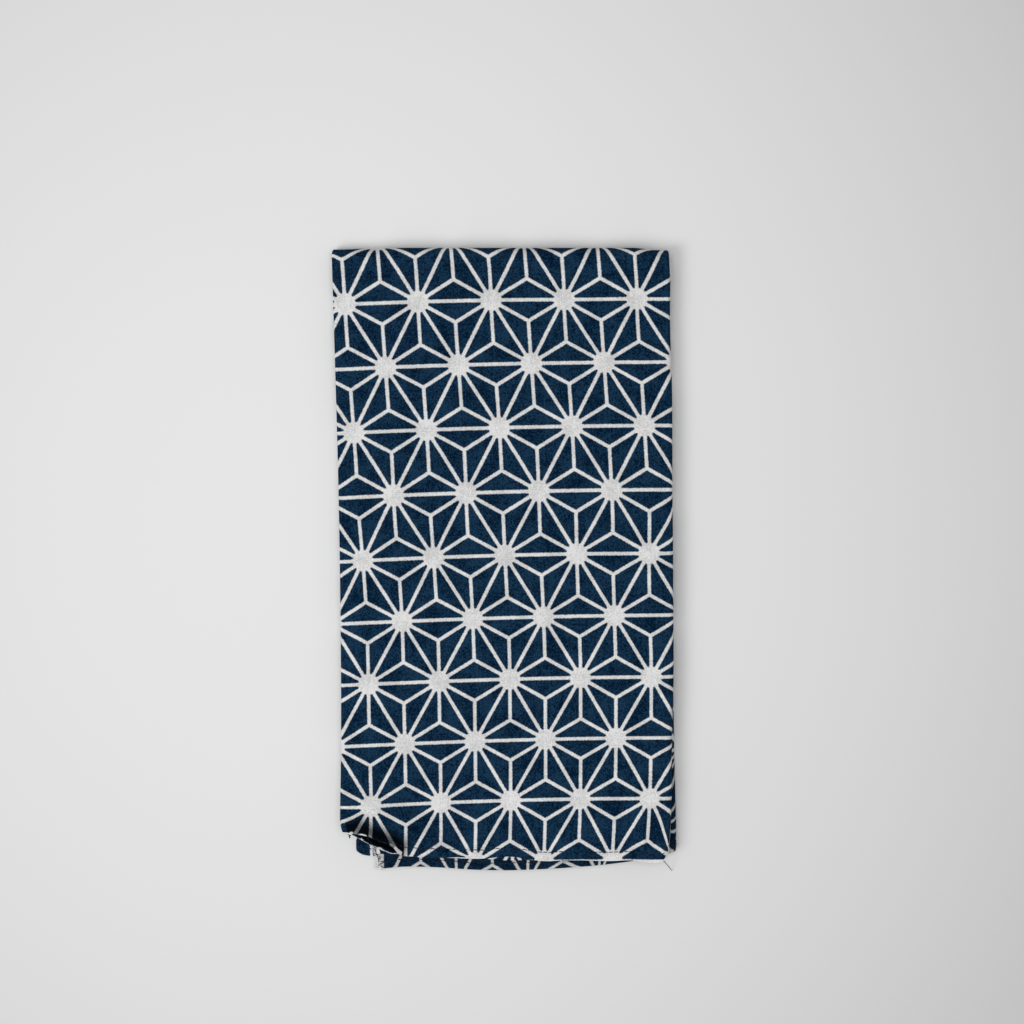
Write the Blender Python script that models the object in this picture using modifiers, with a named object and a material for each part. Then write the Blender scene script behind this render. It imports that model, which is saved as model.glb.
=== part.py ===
"""A folded furoshiki: one hemmed square of cotton.

The cloth is folded into quarters along its length and then once across. It lies flat, with the
folded edge at +Y and the hems at -Y. From the top its layers are b, c, d and a of the front
half, then a, d, c and b of the back half. The lower end of the left fold of b and c is tucked
in between them, so that corner stands open like a small mouth.

The flat cloth is a grid with its creases marked in it. Each point of the grid is carried to its
place in the fold, and the sheet is given its thickness. Metres, +Z up, origin at the middle of
the underside.
"""

import math

import bmesh
import bpy
from mathutils import Vector

MM = 0.001

# The cloth and how its layers stack
THICKNESS = 1.0 * MM
PITCH = 1.2 * MM                    # from one layer's middle to the next
STACK_MIDDLE = 3.64 * PITCH + THICKNESS / 2
TOP_TURN = 3.5 * PITCH * math.pi    # length of cloth that lies in the top fold
TOP_FOLD_Y = 121.9 * MM             # the axis that the whole packet is turned over
LAYER = {"a": 0.58, "d": 1.6, "c": 2.62, "b": 3.64}    # height over the middle, in pitches

# The cloth from one side edge to the other: panels and the turns between them
PANELS = (
    # piece, length across, from and to, cells
    ("a", 118.5 * MM, "free_a", "right", 0),
    ("a-b", 1.5 * PITCH * math.pi, "right", "right", 6),
    ("b", 133.0 * MM, "right", "left", 0),
    ("b-c", 0.5 * PITCH * math.pi, "left", "left", 6),
    ("c", 132.5 * MM, "left", "inner", 0),
    ("c-d", 0.5 * PITCH * math.pi, "inner", "inner", 6),
    ("d", 108.5 * MM, "inner", "free_d", 0),
)
NESTED_BACK = 0.5 * MM              # how far the inner right fold stands back in the outer one
FROM_RIGHT_FOLD = [                 # the panels' grid lines, mm
    6, 14, 28, 48, 70, 88, 99, 106, 111.5, 116, 120, 123.5, 126.5, 129, 131,
]

# The cloth from its back hem over the top fold to its front hem, as shares of each half
FRONT_STEPS = [0, 0.02, 0.07, 0.15, 0.25, 0.35, 0.45, 0.55, 0.65, 0.74, 0.82, 0.865, 0.89,
               0.91, 0.929, 0.947, 0.965, 0.983, 1]
BACK_STEPS = [0, 0.02, 0.08, 0.18, 0.3, 0.42, 0.54, 0.66, 0.78, 0.88, 0.94, 0.975, 1]
TOP_STEPS = 8

# Side edges of the two halves, from the top fold down to the hems, mm
EDGES = (
    # y, front left, front right, back left, back right, back free edge of a
    (126.0, -69.9, 67.8, -69.6, 67.6, -52.2),
    (97.0, -69.3, 67.2, -69.0, 67.1, -52.2),
    (71.0, -68.6, 68.4, -68.2, 67.8, -52.3),
    (30.0, -67.5, 68.6, -66.8, 68.1, -52.4),
    (-10.0, -66.7, 68.8, -65.4, 68.5, -52.5),
    (-50.0, -66.4, 68.9, -63.9, 68.9, -52.6),
    (-72.0, -66.3, 68.3, -62.9, 69.2, -52.7),
    (-95.0, -66.6, 68.2, -61.6, 69.6, -52.8),
    (-110.0, -66.6, 67.8, -60.7, 69.8, -53.0),
    (-118.0, -66.5, 67.1, -60.2, 69.9, -52.8),
    (-128.0, -66.5, 66.2, -60.2, 70.0, -49.6),
)
FREE_A_FRONT = -52.0 * MM
FREE_D_FRONT = -41.0 * MM
FREE_D_BACK = -50.5 * MM

# Where the hem of each layer lies, from left to right, mm
FRONT_HEMS = (
    # x, b, c, d, a
    (-67, -119.3, -119.5, -120.0, -120.0),
    (-50, -119.8, -120.0, -120.2, -120.4),
    (-42, -120.1, -120.3, -120.6, -120.8),
    (-34, -120.9, -120.8, -120.9, -121.2),
    (-16, -121.3, -121.6, -121.2, -121.5),
    (-6, -121.7, -122.6, -121.6, -121.8),
    (5, -122.5, -123.2, -122.0, -122.0),
    (17, -123.1, -123.0, -122.2, -122.1),
    (31, -122.3, -121.9, -121.8, -121.9),
    (45, -121.5, -121.2, -121.3, -121.7),
    (55, -122.3, -121.5, -121.4, -122.0),
    (64, -122.9, -121.8, -121.6, -122.6),
    (70, -122.6, -121.8, -121.8, -122.6),
)
BACK_HEMS = (
    # x, b, c, d, a
    (-61, -116.4, -116.8, -121.0, -126.0),
    (-59, -119.2, -119.6, -121.4, -126.0),
    (-55, -120.0, -120.6, -121.8, -126.2),
    (-49, -120.0, -120.6, -122.2, -126.2),
    (-44, -120.0, -120.6, -122.6, -125.6),
    (-38, -120.0, -120.6, -122.8, -125.3),
    (-28, -119.9, -120.6, -122.8, -125.7),
    (-14, -119.8, -120.7, -122.6, -126.6),
    (-2, -119.8, -120.7, -122.4, -126.9),
    (11, -119.8, -120.7, -122.2, -126.6),
    (25, -119.7, -120.6, -121.9, -126.0),
    (39, -119.6, -120.4, -121.4, -124.9),
    (55, -119.5, -120.2, -120.9, -122.3),
    (70, -119.3, -120.0, -120.4, -119.4),
)

# Left of the inner side edges the front pair bridges down towards the back pair
BRIDGE_FROM_X = -42.0 * MM
BRIDGE_TO_X = -68.0 * MM
BRIDGE_DROP = 2.2 * MM

# The tucked end of the left fold
TUCK_FOLD = Vector((-66.3, -110.2)) * MM       # where its crease leaves the fold
TUCK_HEM = Vector((-42.3, -120.0)) * MM        # where its crease meets the hem
TUCK_ROOM = 11.0 * MM                # how far over the crease the tucked cloth reaches
TUCK_EASE = 10.0 * MM               # how far past that the pair has closed again
LIP_LIFT = 1.8 * MM                 # how far the upper lip arches up
LIP_LENGTH = 11.0 * MM              # how far back from the lip the arch runs
UPPER_LIP_BACK = 2.7 * MM           # how far the upper lip draws back in plan
LOWER_LIP_OUT = 0.9 * MM            # how far the lower lip hangs out in plan
TURN_STEPS = 5                      # strips across the crease of the tuck
TURN_WIDTH = 3.2 * MM               # width of all the strips together
TUCK_HALF = 0.7                     # half the gap inside the tucked cloth, in pitches
TUCK_RADIUS = 0.5 * MM              # least radius of the crease of the tuck
TUCK_GAP = 1.45                     # how much half the gap of the pair grows, in pitches

# Unevenness of the pressed packet
CORNER_DROP = 0.8 * MM              # how far the bulky top right corner is worn down
WAVES = (
    # height in mm, waves per metre in x and y, start
    (0.22, 5.2, 3.1, 0.4),
    (0.14, -3.4, 8.3, 2.1),
    (0.08, 11.0, 5.7, 4.4),
)


def smooth(t):
    t = min(max(t, 0.0), 1.0)
    return t * t * (3 - 2 * t)


def mix(a, b, share):
    return a + (b - a) * share


def look_up(table, column, at):
    """A smooth line through one column of a table, whose first column is the place."""
    rows = table if table[0][0] < table[-1][0] else table[::-1]
    at /= MM
    i = 0
    while i < len(rows) - 2 and at > rows[i + 1][0]:
        i += 1
    x0, x1 = rows[i][0], rows[i + 1][0]
    y0, y1 = rows[i][column], rows[i + 1][column]
    before, after = rows[max(i - 1, 0)], rows[min(i + 2, len(rows) - 1)]
    slope0 = (y1 - before[column]) / (x1 - before[0])
    slope1 = (after[column] - y0) / (after[0] - x0)
    t = min(max((at - x0) / (x1 - x0), 0.0), 1.0)
    span = x1 - x0
    value = (
        (1 + 2 * t) * (1 - t) ** 2 * y0 + t * (1 - t) ** 2 * span * slope0
        + t * t * (3 - 2 * t) * y1 + t * t * (t - 1) * span * slope1
    )
    return value * MM


def across(m):
    """The piece at m across the flat cloth, with how far along it the point is."""
    for name, length, start, end, _ in PANELS:
        if m <= length or name == "d":
            return name, min(m / length, 1.0), start, end
        m -= length


def segment_distance(point, a, b):
    run = b - a
    t = min(max((point - a).dot(run) / run.length_squared, 0.0), 1.0)
    return (point - a - run * t).length


TUCK_RUN = (TUCK_HEM - TUCK_FOLD).normalized()
TUCK_UP = Vector((-TUCK_RUN.y, TUCK_RUN.x))    # square to the crease, towards the packet
TUCK_LENGTH = (TUCK_HEM - TUCK_FOLD).length


def half_gap(place):
    """Half the distance between b and c, which grows where the tucked cloth lies between."""
    off = segment_distance(place, TUCK_FOLD, TUCK_HEM)
    return PITCH * (0.5 + TUCK_GAP * (1 - smooth((off - TUCK_ROOM) / TUCK_EASE)))


def lip_shape(place):
    """0 at both ends of the mouth and 1 in its middle."""
    s = (place - TUCK_FOLD).dot(TUCK_RUN) / TUCK_LENGTH
    return math.sin(math.pi * min(max(s, 0.0), 1.0) ** 1.25)


def bridge(x):
    return BRIDGE_DROP * smooth((BRIDGE_FROM_X - x) / (BRIDGE_FROM_X - BRIDGE_TO_X))


def side_x(name, share, start, end, turn, y, half, gap):
    """The x of a point of the section, in the front or the back half."""
    edge = 1 if half == "front" else 3
    right = look_up(EDGES, edge + 1, y) - THICKNESS / 2 - 1.5 * PITCH
    left = look_up(EDGES, edge, y) + THICKNESS / 2 + gap
    ends = {
        "right": right,
        "inner": right - NESTED_BACK,
        "left": left,
        "free_a": FREE_A_FRONT if half == "front" else look_up(EDGES, 5, y),
        "free_d": FREE_D_FRONT if half == "front" else FREE_D_BACK,
    }
    if turn is None:
        return mix(ends[start], ends[end], share)
    radius = {"a-b": 1.5 * PITCH, "b-c": -gap, "c-d": 0.5 * PITCH}[name]
    return ends[start] + radius * math.sin(turn)


def fold(m, q, front_length, back_length):
    """Where a point of the flat cloth lies: m across it, q along it from the top fold."""
    name, share, start, end = across(m)
    pair = name in ("b", "b-c", "c")
    first, last = name[0], name[-1]
    turn = share * math.pi if len(name) > 1 else None
    side = 1.0 if turn is None else (1 + math.cos(turn)) / 2   # share of the first panel

    # The height over the middle of the stack
    level = mix(LAYER[last], LAYER[first], side) * PITCH
    over = {"b": 1.0, "b-c": math.cos(turn or 0), "c": -1.0}.get(name, 0.0)

    half = "front" if q >= 0 else "back"
    length = front_length if q >= 0 else back_length
    run = max(abs(q) - TOP_TURN / 2, 0) / (length - TOP_TURN / 2)
    angle = math.pi / 2 * (1 - max(-TOP_TURN / 2, min(q, TOP_TURN / 2)) / (TOP_TURN / 2))

    # How far down the half the point lies: its layer's hem sets the length
    near_x = side_x(name, share, start, end, turn, -100 * MM, half, PITCH / 2)
    table = FRONT_HEMS if half == "front" else BACK_HEMS
    column = {"b": 1, "c": 2, "d": 3, "a": 4}
    hem = mix(look_up(table, column[last], near_x), look_up(table, column[first], near_x), side)
    y = mix(TOP_FOLD_Y, hem, run)

    # In the left fold near the tuck the pair stands further apart
    fold_place = Vector((look_up(EDGES, 1, y), y))
    gap = half_gap(fold_place) if pair and half == "front" else PITCH / 2
    x_front = side_x(name, share, start, end, turn, y, "front", gap)
    x_back = side_x(name, share, start, end, turn, y, "back", PITCH / 2)
    x = mix(x_back, x_front, (1 + math.cos(angle)) / 2)
    place = Vector((x, y))

    # The tucked end of the pair
    lift = 0.0
    if pair and half == "front":
        place, lift = tuck(place, over, turn, gap)
        base = LAYER["c"] * PITCH
        level = base + lift - bridge(place.x)
    elif name == "a-b" and half == "front":
        level = level - bridge(x)

    back_level = mix(LAYER[last], LAYER[first], side) * PITCH
    front_level = level if half == "front" else back_level - (bridge(x) if pair else 0.0)
    radius = (front_level + back_level) / 2
    if abs(q) < TOP_TURN / 2:
        y = TOP_FOLD_Y + radius * math.sin(angle)
        z = STACK_MIDDLE + (front_level - back_level) / 2 + radius * math.cos(angle)
    else:
        y = place.y
        z = STACK_MIDDLE + (front_level if half == "front" else -back_level)
    return uneven(Vector((place.x, y, z)))


def tuck(place, over, turn, gap):
    """Turns the end of the pair in between its layers; gives the place and height over c."""
    centre = place.copy()
    bulge = 0.0
    if turn is not None:
        bulge = -math.sin(turn)
        centre.x -= bulge * gap
    off = (centre - TUCK_FOLD).dot(TUCK_UP)
    shape = lip_shape(centre)
    spread = half_gap(centre + TUCK_UP * max(-2 * off, 0))
    fade = 1 - smooth(off / LIP_LENGTH)
    arch = LIP_LIFT * shape * fade * (1 + over) / 2
    outer = spread * (1 + over) + arch
    inner = spread + over * TUCK_HALF * PITCH
    radius = max(abs(outer - inner) / 2, TUCK_RADIUS)
    bend = math.pi * min(max(0.5 - off / (math.pi * radius), 0.0), 1.0)
    weight = (1 + math.cos(bend)) / 2

    new_off = max(abs(off), math.pi * radius / 2) - radius * math.sin(bend)
    place = centre + TUCK_UP * (new_off - off)
    if bulge:
        across_dir = Vector((1.0, 0.0))
        turned = across_dir - 2 * across_dir.dot(TUCK_UP) * TUCK_UP
        reach = gap * weight + TUCK_HALF * PITCH * (1 - weight)
        place += bulge * reach * (across_dir * weight + turned * (1 - weight))
    draw = mix(-LOWER_LIP_OUT, UPPER_LIP_BACK, (1 + over) / 2) * shape * fade
    place += TUCK_UP * draw
    return place, outer * weight + inner * (1 - weight)


def uneven(point):
    """The packet's broad waves, which fade out towards the underside."""
    up = smooth((point.z - PITCH) / (2 * STACK_MIDDLE))
    wave = sum(
        h * math.sin(2 * math.pi * (kx * point.x + ky * point.y) + start)
        for h, kx, ky, start in WAVES
    )
    worn = smooth((point.x - 60 * MM) / (9 * MM)) * smooth((point.y - 96 * MM) / (30 * MM))
    point.z += wave * MM * up
    point.y -= CORNER_DROP * worn
    return point


def column_lines():
    """The grid lines across the flat cloth."""
    lines, start = [0.0], 0.0
    for name, length, _, _, cells in PANELS:
        if cells:
            inner = [length * i / cells for i in range(1, cells)]
        else:
            inner = [d * MM for d in FROM_RIGHT_FOLD if d * MM < length - 1 * MM]
            if name in ("a", "c"):
                inner = [length - d for d in reversed(inner)]
        lines += [start + d for d in inner] + [start + length]
        start += length
    return lines


def row_lines(front_length, back_length):
    """The grid lines along the flat cloth, from the back hem to the front hem."""
    edge = TOP_TURN / 2
    back = [-(edge + s * (back_length - edge)) for s in reversed(BACK_STEPS)]
    turn = [-edge + TOP_TURN * i / TOP_STEPS for i in range(1, TOP_STEPS)]
    front = [edge + s * (front_length - edge) for s in FRONT_STEPS]
    return back + turn + front


def crease_cuts(cloth, fold_m, front_length):
    """Marks the tuck's crease on both sides of the left fold, as strips across its turn."""
    hem_y = look_up(FRONT_HEMS, 1, TUCK_FOLD.x)
    scale = (front_length - TOP_TURN / 2) / (TOP_FOLD_Y - hem_y)
    fold_q = TOP_TURN / 2 + (TOP_FOLD_Y - TUCK_FOLD.y) * scale
    half_turn = 0.25 * PITCH * math.pi
    for way in (-1, 1):
        along = Vector((way * TUCK_RUN.x, -TUCK_RUN.y * scale, 0)).normalized()
        normal = Vector((-along.y, along.x, 0))
        for i in range(TURN_STEPS + 1):
            off = (i / TURN_STEPS - 0.5) * TURN_WIDTH
            start = Vector((fold_m + way * half_turn, fold_q, 0))
            at = start + Vector((0, -off / TUCK_UP.y, 0))
            faces = [
                f for f in cloth.faces
                if 0 < way * (f.calc_center_median().x - fold_m) < 32 * MM
                and f.calc_center_median().y > fold_q - 8 * MM
            ]
            edges = {e for f in faces for e in f.edges}
            corners = {v for f in faces for v in f.verts}
            bmesh.ops.bisect_plane(
                cloth, geom=faces + list(edges) + list(corners), dist=0.12 * MM,
                plane_co=at, plane_no=normal,
            )


def make_cloth(collection):
    front_length = TOP_TURN / 2 + (TOP_FOLD_Y + 121.5 * MM)
    back_length = TOP_TURN / 2 + (TOP_FOLD_Y + 121.5 * MM)
    columns = column_lines()
    rows = row_lines(front_length, back_length)

    cloth = bmesh.new()
    bmesh.ops.create_grid(
        cloth, x_segments=len(columns) - 1, y_segments=len(rows) - 1, size=1.0
    )
    for vert in cloth.verts:
        i = round((vert.co.x + 1) / 2 * (len(columns) - 1))
        j = round((vert.co.y + 1) / 2 * (len(rows) - 1))
        vert.co = (columns[i], rows[j], 0)

    fold_m = sum(length for name, length, *_ in PANELS if name in ("a", "a-b", "b"))
    fold_m += 0.25 * PITCH * math.pi
    crease_cuts(cloth, fold_m, front_length)

    for vert in cloth.verts:
        vert.co = fold(vert.co.x, vert.co.y, front_length, back_length)
    bmesh.ops.triangulate(cloth, faces=cloth.faces[:])

    mesh = bpy.data.meshes.new("furoshiki_cloth")
    cloth.to_mesh(mesh)
    cloth.free()
    mesh.shade_smooth()
    sheet = bpy.data.objects.new("furoshiki_cloth", mesh)
    collection.objects.link(sheet)
    body = sheet.modifiers.new("Thickness", "SOLIDIFY")
    body.thickness = THICKNESS
    body.offset = 0.0
    body.use_even_offset = True
    body.use_quality_normals = True
    return sheet


def cotton():
    material = bpy.data.materials.new("indigo_printed_cotton")
    material.use_nodes = True
    shader = material.node_tree.nodes["Principled BSDF"]
    shader.inputs["Base Color"].default_value = (0.012, 0.032, 0.075, 1)
    shader.inputs["Roughness"].default_value = 0.9
    shader.inputs["Metallic"].default_value = 0.0
    return material


def main():
    for old in list(bpy.context.scene.objects):
        bpy.data.objects.remove(old, do_unlink=True)
    collection = bpy.data.collections.new("furoshiki")
    bpy.context.scene.collection.children.link(collection)
    sheet = make_cloth(collection)
    sheet.data.materials.append(cotton())


main()
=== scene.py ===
import math
import random
from functools import partial

import bmesh
import bpy
from mathutils import Matrix, Vector


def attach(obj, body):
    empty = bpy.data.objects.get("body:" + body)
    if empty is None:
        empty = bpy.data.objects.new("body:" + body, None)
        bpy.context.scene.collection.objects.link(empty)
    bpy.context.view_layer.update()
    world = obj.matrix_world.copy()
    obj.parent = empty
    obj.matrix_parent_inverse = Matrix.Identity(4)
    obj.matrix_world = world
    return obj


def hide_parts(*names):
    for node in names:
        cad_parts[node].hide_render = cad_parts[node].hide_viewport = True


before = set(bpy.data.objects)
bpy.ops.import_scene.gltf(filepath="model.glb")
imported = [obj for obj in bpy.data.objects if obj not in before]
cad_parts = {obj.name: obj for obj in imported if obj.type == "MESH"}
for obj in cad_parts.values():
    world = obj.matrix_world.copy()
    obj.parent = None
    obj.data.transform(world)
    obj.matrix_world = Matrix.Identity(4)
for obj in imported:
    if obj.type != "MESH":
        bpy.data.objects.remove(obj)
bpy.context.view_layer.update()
print("frame loaded")

mm = 0.001


# the folded cloth
# It lies in four panels a, b, c, d and is then folded in half over the top edge.

cloth = {
    "thickness": 0.5 * mm,
    "hemThickness": 1.12 * mm,
    "pitch": 1.2 * mm,              # from one layer's middle to the next
    "middleHeight": 4.868 * mm,     # height of the middle of the stack
    "topFold": 122.45 * mm,         # the axis that the packet is turned over
    "topPitches": 3.5,
    "insetFold": 0.5 * mm,          # how far the inner right fold stands back
    "halfLength": 121.5 * mm,
}

# height of each panel over the middle of the stack, in pitches
layerHeight = {"a": 0.58, "d": 1.6, "c": 2.62, "b": 3.64}

pitch = cloth["pitch"]
halfTurn = cloth["topPitches"] * pitch * math.pi / 2
flatHalf = halfTurn + cloth["topFold"] + cloth["halfLength"]
panelLength = flatHalf - halfTurn

panels = (
    # piece, length, starts at, ends at, cells in a turn
    ("a", 118.5 * mm, "freeA", "right", 0),
    ("a-b", 1.5 * pitch * math.pi, "right", "right", 12),
    ("b", 133.0 * mm, "right", "left", 0),
    ("b-c", 0.5 * pitch * math.pi, "left", "left", 10),
    ("c", 132.5 * mm, "left", "inner", 0),
    ("c-d", 0.5 * pitch * math.pi, "inner", "inner", 10),
    ("d", 108.5 * mm, "inner", "freeD", 0),
)
flatWidth = sum(panel[1] for panel in panels)

# side edges of both halves from the top fold down, mm
sideEdges = (
    # y, front left, front right, back left, back right, free edge of a
    (126.0, -70.4, 68.1, -70.1, 67.9, -52.2),
    (97.0, -69.5, 67.7, -69.2, 67.5, -52.2),
    (71.0, -68.7, 68.5, -68.3, 67.9, -52.3),
    (30.0, -67.6, 68.7, -66.9, 68.2, -52.4),
    (-10.0, -66.9, 69.0, -65.6, 68.7, -52.4),
    (-50.0, -66.5, 69.1, -64.1, 69.2, -52.4),
    (-72.0, -66.5, 68.5, -63.0, 69.6, -52.3),
    (-95.0, -66.7, 68.4, -61.6, 70.1, -52.0),
    (-106.0, -66.7, 68.0, -61.0, 70.4, -51.8),
    (-109.0, -66.3, 67.9, -60.8, 70.5, -51.8),
    (-111.0, -65.7, 67.8, -60.7, 70.5, -51.7),
    (-114.0, -65.3, 67.6, -60.5, 70.4, -51.6),
    (-118.0, -65.2, 67.2, -60.3, 70.1, -51.8),
    (-128.0, -65.2, 66.3, -60.3, 69.8, -50.2),
)
freeAFront = -52.0 * mm
freeDFront = -41.0 * mm
freeDBack = -50.5 * mm

# where each layer's hem lies, from left to right, mm
frontHems = (
    # x, b, c, d, a
    (-67, -119.3, -119.5, -120.0, -120.0),
    (-50, -119.8, -120.0, -120.2, -120.4),
    (-42, -120.4, -120.4, -120.6, -120.8),
    (-36, -121.0, -120.9, -120.9, -121.2),
    (-28, -121.4, -121.2, -121.0, -121.3),
    (-20, -121.8, -121.4, -121.1, -121.4),
    (-12, -122.0, -121.7, -121.2, -121.5),
    (-7, -121.7, -122.3, -121.5, -121.7),
    (-2.5, -121.2, -122.7, -121.7, -121.8),
    (3, -121.2, -122.8, -121.8, -121.9),
    (7.5, -121.8, -122.6, -122.0, -122.0),
    (11.5, -122.5, -122.6, -122.1, -122.0),
    (17, -123.0, -122.7, -122.2, -122.1),
    (23, -122.7, -122.2, -122.0, -122.0),
    (30, -122.6, -121.9, -121.8, -121.9),
    (44, -122.9, -122.0, -121.6, -121.8),
    (52, -122.6, -121.9, -121.5, -121.9),
    (56, -122.9, -122.0, -121.6, -122.2),
    (60, -123.6, -122.4, -121.9, -122.6),
    (63, -123.6, -122.4, -121.8, -122.5),
    (65.5, -123.5, -121.6, -121.3, -122.0),
    (66.2, -123.3, -121.4, -121.1, -121.8),
    (66.8, -121.6, -121.0, -120.8, -121.2),
    (67.4, -120.2, -120.4, -120.4, -120.6),
    (70, -119.6, -119.8, -119.8, -119.9),
)
backHems = (
    # x, b, c, d, a
    (-61.5, -119.0, -119.4, -121.0, -126.3),
    (-59.5, -120.6, -121.0, -121.4, -126.4),
    (-55, -121.0, -121.7, -121.8, -126.5),
    (-50, -120.6, -121.4, -122.0, -126.5),
    (-44, -120.3, -121.0, -122.4, -125.9),
    (-38, -120.0, -120.8, -122.5, -125.8),
    (-28, -119.9, -120.6, -122.4, -126.1),
    (-14, -119.8, -120.7, -122.2, -127.0),
    (-2, -119.8, -120.7, -122.0, -127.3),
    (11, -119.8, -120.7, -121.8, -127.0),
    (25, -119.7, -120.6, -121.6, -126.3),
    (39, -119.6, -120.4, -121.3, -125.2),
    (47, -119.6, -120.3, -121.1, -124.3),
    (55, -119.5, -120.2, -120.9, -123.1),
    (70, -119.3, -120.0, -120.4, -119.8),
)

# the lower end of the left fold is tucked in between its two layers
tuck = {
    "foldEnd": Vector((-66.3, -110.2)) * mm,
    "hemEnd": Vector((-42.3, -120.0)) * mm,
    "room": 11.0 * mm,
    "ease": 10.0 * mm,
    "gap": 1.45,
    "innerHalf": 0.7,
    "radius": 0.5 * mm,
    "lipLift": 4.4 * mm,
    "lipLength": 6.5 * mm,
    "lipSpan": (0.0, 0.56, 0.84, 0.17),
    "lipInside": 0.62,              # how far the turned-in layer rises with it
    "rimLift": 1.7 * mm,
    "rimLength": 3.2 * mm,
    "cornerLift": 2.4 * mm,         # how far the whole corner stands up
    "cornerLength": 9.5 * mm,
    "upperLipBack": 1.9 * mm,
    "lowerLipOut": 1.1 * mm,
    "strips": 8,
    "stripWidth": 3.2 * mm,
    "bridgeFrom": -42.0 * mm,
    "bridgeTo": -68.0 * mm,
    "bridgeDrop": 2.2 * mm,
}
tuckLine = tuck["hemEnd"] - tuck["foldEnd"]
tuckedPair = ("b", "b-c", "c")
tuckRun = tuckLine.normalized()
tuckUp = Vector((-tuckRun.y, tuckRun.x))

pressing = {
    "cornerDrop": 0.95 * mm,        # the top fold's right corner, from x over this far
    "cornerRise": 0.5 * mm,         # and its left one
    "cornerSpan": (53 * mm, 52 * mm, 9 * mm),
    "cornerFade": (96 * mm, 30 * mm),
    "waves": (
        # height in mm, waves per metre in x and y, start
        (0.22, 5.2, 3.1, 0.4),
        (0.14, -3.4, 8.3, 2.1),
        (0.08, 11.0, 5.7, 4.4),
    ),
    "creases": (
        # from x, y to x, y, half width and height in mm; a trough is less than nought
        (55.8, 108.0, 58.0, 80.0, 1.7, -0.42),
        (18.0, 66.0, 22.8, -17.0, 2.4, -0.16),
        (-9.8, 76.0, -4.9, 60.0, 2.0, -0.15),
        (12.4, 78.0, 16.7, 62.0, 2.0, -0.14),
        (4.5, 52.0, 9.8, 34.0, 2.2, -0.14),
        (-54.0, 52.0, -49.7, 36.0, 2.2, -0.14),
        (63.4, 60.0, 63.9, -55.0, 5.5, 0.34),
        (-63.0, -2.0, -62.0, -62.0, 4.5, 0.22),
        (58.0, -92.0, 61.5, -116.0, 2.4, -0.22),
    ),
    "hemWaves": (
        # height in mm, waves per metre, start
        (0.16, 61.0, 0.3),
        (0.12, 97.0, 1.9),
        (0.06, 171.0, 4.0),
    ),
}


def smooth(t):
    t = min(max(t, 0.0), 1.0)
    return t * t * (3 - 2 * t)


def mix(first, second, share):
    return first + (second - first) * share


def between(value, start, rise, end, fall):
    # rises from nought after the start and falls back after the end
    return smooth((value - start) / rise) * (1 - smooth((value - end) / fall))


def lookUp(table, column, place):
    # a smooth line through one column of a table
    rows = table if table[0][0] < table[-1][0] else table[::-1]
    place /= mm
    i = 0
    while i < len(rows) - 2 and place > rows[i + 1][0]:
        i += 1
    x0, x1 = rows[i][0], rows[i + 1][0]
    y0, y1 = rows[i][column], rows[i + 1][column]
    before = rows[max(i - 1, 0)]
    after = rows[min(i + 2, len(rows) - 1)]
    slope0 = (y1 - before[column]) / (x1 - before[0])
    slope1 = (after[column] - y0) / (after[0] - x0)
    span = x1 - x0
    t = min(max((place - x0) / span, 0.0), 1.0)
    value = (1 + 2 * t) * (1 - t) ** 2 * y0 + t * (1 - t) ** 2 * span * slope0
    value += t * t * (3 - 2 * t) * y1 + t * t * (t - 1) * span * slope1
    return value * mm


def panelAt(acrossFlat):
    # the panel or turn at this distance across the flat cloth, and how far round or along it
    for name, length, start, end, _ in panels:
        if acrossFlat <= length or name == "d":
            share = min(max(acrossFlat / length, 0.0), 1.0)
            return name, share, start, end, share * math.pi if "-" in name else None
        acrossFlat -= length


def pairGap(place):
    # half the distance between b and c, wider where the tucked cloth lies between
    share = (place - tuck["foldEnd"]).dot(tuckLine) / tuckLine.length_squared
    nearest = tuck["foldEnd"] + tuckLine * min(max(share, 0.0), 1.0)
    off = (place - nearest).length
    return pitch * (0.5 + tuck["gap"] * (1 - smooth((off - tuck["room"]) / tuck["ease"])))


def leftGap(y):
    return pairGap(Vector((lookUp(sideEdges, 1, y), y)))


def offTuck(place):
    # how far up from the line of the tuck
    return (place - tuck["foldEnd"]).dot(tuckUp)


def alongTuck(place):
    # and how far along it, as a share
    return (place - tuck["foldEnd"]).dot(tuckRun) / tuckLine.length


def lipShape(place):
    return between(alongTuck(place), *tuck["lipSpan"])


def cornerLift(place):
    near = 1 - smooth(abs(offTuck(place)) / tuck["cornerLength"])
    return tuck["cornerLift"] * near * (1 - smooth((alongTuck(place) - 0.1) / 0.9))


def bridge(x):
    # the front pair sags towards the back pair, left of the inner layers' edges
    reach = tuck["bridgeFrom"] - tuck["bridgeTo"]
    return tuck["bridgeDrop"] * smooth((tuck["bridgeFrom"] - x) / reach)


def foldAxes(half, y, gap):
    # the middles of the left and the right fold
    edge = 1 if half == "front" else 3
    left = lookUp(sideEdges, edge, y) + cloth["thickness"] / 2 + gap
    return left, lookUp(sideEdges, edge + 1, y) - cloth["thickness"] / 2 - 1.5 * pitch


def betweenPanels(name, turn, valueOf):
    # on a panel its own value, in a turn a mix of the two that it joins
    side = 1.0 if turn is None else (1 + math.cos(turn)) / 2
    return mix(valueOf(name[-1]), valueOf(name[0]), side)


def sectionX(spot, y, half, gap):
    name, share, start, end, turn = spot
    left, right = foldAxes(half, y, gap)
    ends = {
        "right": right,
        "inner": right - cloth["insetFold"],
        "left": left,
        "freeA": freeAFront if half == "front" else lookUp(sideEdges, 5, y),
        "freeD": freeDFront if half == "front" else freeDBack,
    }
    if turn is None:
        return mix(ends[start], ends[end], share)
    radius = {"a-b": 1.5 * pitch, "b-c": -gap, "c-d": 0.5 * pitch}[name]
    return ends[start] + radius * math.sin(turn)


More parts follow.
